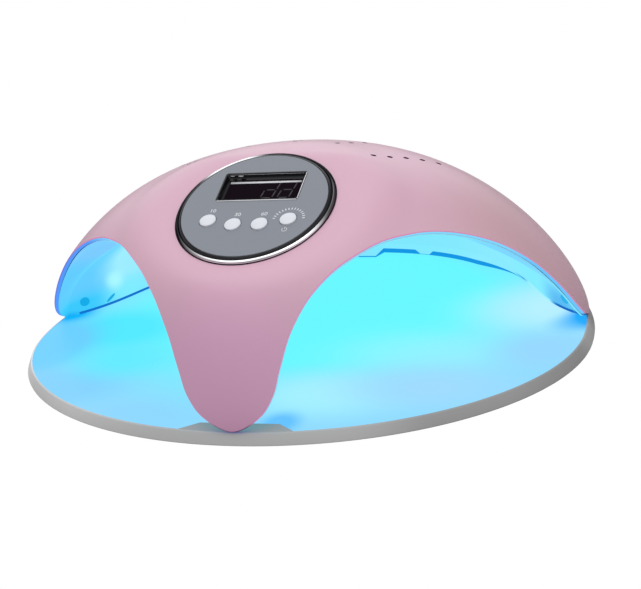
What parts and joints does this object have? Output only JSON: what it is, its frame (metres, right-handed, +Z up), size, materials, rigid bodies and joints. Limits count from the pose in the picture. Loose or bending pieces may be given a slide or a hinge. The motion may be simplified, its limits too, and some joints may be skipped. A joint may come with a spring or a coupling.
{
  "type": "uv led nail lamp",
  "caption": "Two-hand UV LED nail lamp: a domed head with side hand openings, a round tilted control panel and a glowing liner, on a separate tray base.",
  "frame": {"origin": "centre of the underside of the rubber feet, on the lamp's mirror plane", "axes": "+Z up, -Y towards the user (the control panel and the front foot face -Y), X left to right"},
  "size_m": [0.3598, 0.2662, 0.1212],
  "materials": {
    "shell_pink": "satin pink",
    "tray_grey": "satin light grey",
    "deck_glow": "bright reflecting plate, lit cyan by the lamps",
    "liner_glow": "glossy white reflector, lit cyan by the lamps",
    "foot_rubber": "matte",
    "ring_chrome": "polished",
    "panel_grey": "satin blue grey",
    "display_black": "glossy",
    "window_smoke": "glossy smoked",
    "button_white": "satin",
    "part_black": "matte",
    "board_green": "circuit board",
    "board_white": "circuit board",
    "lead_red": "insulated wire",
    "magnet_steel": "plated",
    "lens_clear": "clear, lit",
    "sensor_dark": "glossy dark blue"
  },
  "bodies": {
    "base": {"base_tray": "tray_grey", "base_deck": "deck_glow", "base_feet": "foot_rubber", "base_magnets": "magnet_steel"},
    "head": {"outer_shell": "shell_pink", "inner_liner": "liner_glow", "foot_plate": "tray_grey", "head_magnets": "magnet_steel", "led_lenses_left": "lens_clear", "led_lenses_right": "lens_clear", "led_boards_left": "board_white", "led_boards_right": "board_white", "led_leads_left": "lead_red", "led_leads_right": "lead_red", "sensor_window_left": "sensor_dark", "sensor_window_right": "sensor_dark", "sensor_board_left": "board_green", "sensor_board_right": "board_green", "panel_ring": "ring_chrome", "panel_plate": "panel_grey", "display_bezel": "display_black", "display_window": "window_smoke", "display_module": "part_black", "control_board": "board_green", "board_screws": "magnet_steel", "board_chips": "part_black", "tact_switches": "part_black", "dc_jack": "part_black", "jack_collar": "part_black", "jack_board": "board_green", "jack_lead": "lead_red"},
    "key_1": {"button_1": "button_white", "plunger_1": "part_black"},
    "key_2": {"button_2": "button_white", "plunger_2": "part_black"},
    "key_3": {"button_3": "button_white", "plunger_3": "part_black"},
    "key_4": {"button_4": "button_white", "plunger_4": "part_black"}
  },
  "joints": [
    {"name": "head_lift", "type": "slide", "parent": "base", "child": "head", "axis": [0, 0, 1], "range_m": [0, 0.06]},
    {"name": "button_1_press", "type": "slide", "parent": "head", "child": "key_1", "axis": [0, 0.299, -0.9542], "range_m": [0, 0.0006], "stiffness_N_per_m": 600, "springref_m": -0.0006},
    {"name": "button_2_press", "type": "slide", "parent": "head", "child": "key_2", "axis": [0, 0.299, -0.9542], "range_m": [0, 0.0006], "stiffness_N_per_m": 600, "springref_m": -0.0006},
    {"name": "button_3_press", "type": "slide", "parent": "head", "child": "key_3", "axis": [0, 0.299, -0.9542], "range_m": [0, 0.0006], "stiffness_N_per_m": 600, "springref_m": -0.0006},
    {"name": "button_4_press", "type": "slide", "parent": "head", "child": "key_4", "axis": [0, 0.299, -0.9542], "range_m": [0, 0.0006], "stiffness_N_per_m": 600, "springref_m": -0.0006}
  ]
}
